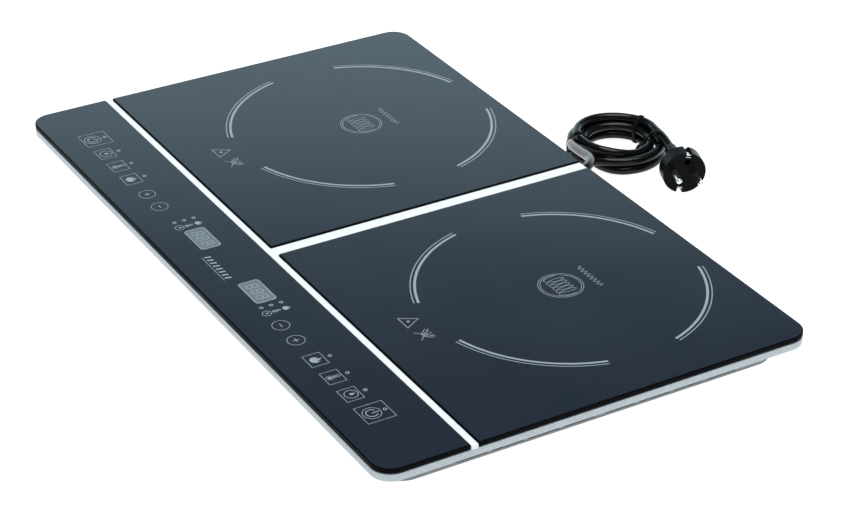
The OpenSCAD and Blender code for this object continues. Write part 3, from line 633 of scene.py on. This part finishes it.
def draw_power(marks, x):
    marks.box(x, POWER_BOX_Y, 21.6, 22.0, 0.45)
    marks.ring(x, POWER_Y, 6.8, 0.5)
    marks.ring(x, POWER_Y, 4.2, 0.8, *OPEN_TOP)
    marks.line([(x, POWER_Y), (x, 36)], 0.8)
    marks.ring(x, KEY_LAMP_Y, LAMP_R, 0.7)


def draw_timer(marks, x, y=KEY_Y, r=5.0):
    marks.ring(x, y, r, 0.55)
    marks.area([(x - 0.3 * r, y - 0.1 * r), (x + 0.05 * r, y - 0.3 * r), (x + 0.3 * r, y), (x, y + 0.7 * r)])


def draw_thermometer(marks, x, y=KEY_Y, size=1.0):
    stem = [(-1, -1.2), (-1, 4.6), (0, 5.6), (1, 4.6), (1, -1.2)]
    marks.line([(x + a * size * 1.3, y + b * size) for a, b in stem], 0.45)
    marks.ring(x, y - 3 * size, 2.5 * size, 0.45, *OPEN_TOP)
    marks.disc(x, y - 3 * size, 1.4 * size)
    marks.line([(x, y - 2 * size), (x, y + 3.4 * size)], 0.9 * size)


def draw_flame(marks, x, y=KEY_Y, size=1.0):
    marks.area([(x + a * size, y + b * size) for a, b in FLAME])


def draw_step(marks, x, plus):
    marks.ring(x, KEY_Y, 6.6, 0.5)
    marks.line([(x - 2.4, KEY_Y), (x + 2.4, KEY_Y)], 0.7)
    if plus:
        marks.line([(x, KEY_Y - 2.4), (x, KEY_Y + 2.4)], 0.7)


def draw_digit(marks, x, y):
    """One figure eight of a seven-part display, slightly slanted."""
    w, h, lean = 2.5, 4.4, 0.12
    corners = [(-w, h), (w, h), (-w, 0), (w, 0), (-w, -h), (w, -h)]
    at = [(x + a + lean * b, y + b) for a, b in corners]
    for i, j in ((0, 1), (2, 3), (4, 5), (0, 2), (1, 3), (2, 4), (3, 5)):
        (ax, ay), (bx, by) = at[i], at[j]
        ux, uy = unit(at[i], at[j])
        marks.line([(ax + 0.45 * ux, ay + 0.45 * uy), (bx - 0.45 * ux, by - 0.45 * uy)], 0.85)


def draw_display(side, x):
    w, h = DISPLAY_SIZE[0] / 2, DISPLAY_SIZE[1] / 2
    outline = rounded_outline((x - w, DISPLAY_Y - h), (x + w, DISPLAY_Y + h), (DISPLAY_R,) * 4, 6)
    field = Print()
    field.area(outline)
    field.make(f"display_field_{side}", PRINT_FIELD)
    marks = Print()
    marks.line(outline, 0.9, closed=True)
    for step in (-DIGIT_STEP, 0, DIGIT_STEP):
        draw_digit(marks, x + step, DISPLAY_Y)
    marks.make(f"display_figures_{side}", PRINT, layer=2)


# Places along the control strip, in mm from its left end
KEY_PLACES = {
    "left": {"power": 62.6, "timer": 90.6, "thermometer": 115.6, "flame": 141, "plus": 170.2, "minus": 193.4,
             "lamps": 223, "signs": 232.2, "display": 255.8},
    "right": {"power": 533, "timer": 505, "thermometer": 479.4, "flame": 453.4, "plus": 423, "minus": 399.4,
              "lamps": 370.6, "signs": 379.6, "display": 348},
}


def draw_controls(side):
    place = KEY_PLACES[side]
    marks = Print()
    draw_power(marks, place["power"])
    draw_timer(marks, place["timer"])
    draw_thermometer(marks, place["thermometer"])
    draw_flame(marks, place["flame"])
    for key in ("timer", "thermometer", "flame"):
        marks.box(place[key], KEY_BOX_Y, 16, 13.6, 0.45)
        marks.ring(place[key], KEY_LAMP_Y, LAMP_R, 0.8)
    draw_step(marks, place["plus"], True)
    draw_step(marks, place["minus"], False)
    for y in LAMP_ROWS:
        marks.ring(place["lamps"], y, LAMP_R, 0.8)
    draw_flame(marks, place["signs"], LAMP_ROWS[0], 0.7)
    draw_thermometer(marks, place["signs"], LAMP_ROWS[1], 0.6)
    draw_timer(marks, place["signs"], LAMP_ROWS[2], 3.4)
    marks.make(f"print_controls_{side}", PRINT)
    draw_display(side, place["display"])


CENTRE_MARK = (301.8, 26.5)
MARK_BARS = 8


def draw_centre_mark():
    """Slanted bars over a thin rule, in the middle of the strip."""
    marks = Print(CENTRE_MARK)
    for k in range(MARK_BARS):
        x = -19 + k * 5
        marks.area([(x, -2.2), (x + 1.8, -2.2), (x + 2.8, 2.8), (x + 1, 2.8)])
    marks.line([(-19.8, -3.9), (19.8, -3.9)], 0.45)
    marks.make("print_centre_mark", PRINT)


for side in ("left", "right"):
    draw_zone(side)
    draw_controls(side)
draw_centre_mark()

# ---------- metal frame ----------

BAR_GAP = 0.0003
BAR_DROP = 0.0013
BAR_FOOT = 0.0005  # the divider reaches this far below the adhesive's underside
BAR_ROUND = 0.0005
RIM_ROUND = 0.0001
RIM_LEAST_R = 0.004
LAND_W = 12
# Cross-section of the rim and its land: distance inwards from the outline and height, in mm
RIM_SECTION = [(0, 48.2), (0.2, 47.7), (0.7, 47.5), (2.5, 47.5), (2.9, 47.6), (3, 48), (3, 50.5),
               (LAND_W, 50.5), (LAND_W, 53.5), (0.5, 53.5), (0.15, 53.35), (0, 53)]


def make_rim():
    low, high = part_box("top_frame")
    rings = []
    for inset, z in RIM_SECTION:
        step = inset * MM
        r = max(CORNER_R - step, RIM_LEAST_R)
        outline = rounded_outline((low.x + step, low.y + step), (high.x - step, high.y - step), (r,) * 4)
        rings.append([(x, y, z * MM) for x, y in outline])
    points, faces = joined_rings(list(reversed(rings)), closed_path=True)
    rim = add_mesh("frame_rim", points, faces, METAL)
    add_bevel(rim, RIM_ROUND, 1, 60)
    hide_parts("top_frame")


def make_bars():
    """The T-shaped divider between the three panels, in a lighter copy of the frame metal that paints in the
    highlight on its top.
    """
    control, left, right = (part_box(n) for n in ("control_glass", "cooking_glass_left", "cooking_glass_right"))
    x0, x1 = control[0].x, control[1].x
    y0, y1 = control[1].y + BAR_GAP, left[0].y - BAR_GAP
    m0, m1 = left[1].x + BAR_GAP, right[0].x - BAR_GAP
    y2 = left[1].y
    outline = [(x0, y0), (x1, y0), (x1, y1), (m1, y1), (m1, y2), (m0, y2), (m0, y1), (x0, y1)]
    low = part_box("glass_adhesive")[0].z - BAR_FOOT
    bars = prism("frame_divider", outline, low, control[1].z - BAR_DROP, LIT_DIVIDER_METAL)
    add_bevel(bars, BAR_ROUND, 3)


make_rim()
make_bars()

# ---------- studio ----------

FLOOR_HALF = 6
FLOOR_GLOW = 0.95
SKY_TINT = (0.94, 0.99, 1.02)
# Brightness of the surroundings at each sine of the height above the horizon
SKY = [(0, 0.95), (0.25, 0.8), (0.42, 0.12), (0.6, 0.03), (1, 0.5)]
# Name, place, what it faces, width and height in metres, power in watts and colour
LIGHTS = [("overhead", (0.2, 0.2, 3.0), (0, 0, 0), (2.4, 2.4), 102, (0.95, 0.98, 1.0)),
          ("back_left", (-1.3, 0.75, 0.43), (0, 0, 0.43), (3.0, 0.86), 8.0, (0.60, 0.90, 1.0))]


def make_floor():
    """A flat floor that glows as a light table does, so hardly any shadow shows."""
    material, tree, shader = new_material("floor", (0.3, 0.3, 0.3), 0.9, Specular_IOR_Level=0.1)
    cloud = noise(tree, 8, detail=2)
    base = mixed(tree, spread(tree, cloud, 0, 1), (0.30, 0.30, 0.30), (0.32, 0.32, 0.32))
    tree.links.new(base, shader.inputs["Base Color"])
    shader.inputs["Emission Color"].default_value = (1, 1, 1, 1)
    shader.inputs["Emission Strength"].default_value = FLOOR_GLOW
    corners = [(x * FLOOR_HALF, y * FLOOR_HALF, 0) for x, y in ((-1, -1), (1, -1), (1, 1), (-1, 1))]
    floor = add_mesh("floor", corners, [(0, 1, 2, 3)], material, smooth=False, body=None)


def make_world():
    """Pale all round at the horizon, nearly dark halfway up and half as bright overhead."""
    world = bpy.data.worlds.new("world")
    world.use_nodes = True
    bpy.context.scene.world = world
    tree = world.node_tree
    place = tree.nodes.new("ShaderNodeTexCoord")
    split = tree.nodes.new("ShaderNodeSeparateXYZ")
    tree.links.new(place.outputs["Generated"], split.inputs["Vector"])
    ramp = tree.nodes.new("ShaderNodeValToRGB")
    stops = ramp.color_ramp.elements
    stops.remove(stops[1])
    for i, (height, level) in enumerate(SKY):
        stop = stops[0] if i == 0 else stops.new(height)
        stop.position = height
        stop.color = (*(level * part for part in SKY_TINT), 1)
    tree.links.new(split.outputs["Z"], ramp.inputs["Fac"])
    tree.links.new(ramp.outputs["Color"], tree.nodes["Background"].inputs["Color"])


def add_light(name, place, target, size, power, colour):
    """A soft rectangular light; size is its width and height in metres."""
    data = bpy.data.lights.new(name, "AREA")
    data.shape = "RECTANGLE"
    data.size, data.size_y = size
    data.energy = power
    data.color = colour
    light = bpy.data.objects.new(name, data)
    light.location = place
    light.rotation_euler = (Vector(target) - Vector(place)).to_track_quat("-Z", "Y").to_euler()
    light.visible_camera = False
    bpy.context.scene.collection.objects.link(light)


make_floor()
make_world()
for light in LIGHTS:
    add_light(*light)
bpy.context.scene.view_settings.view_transform = "Standard"
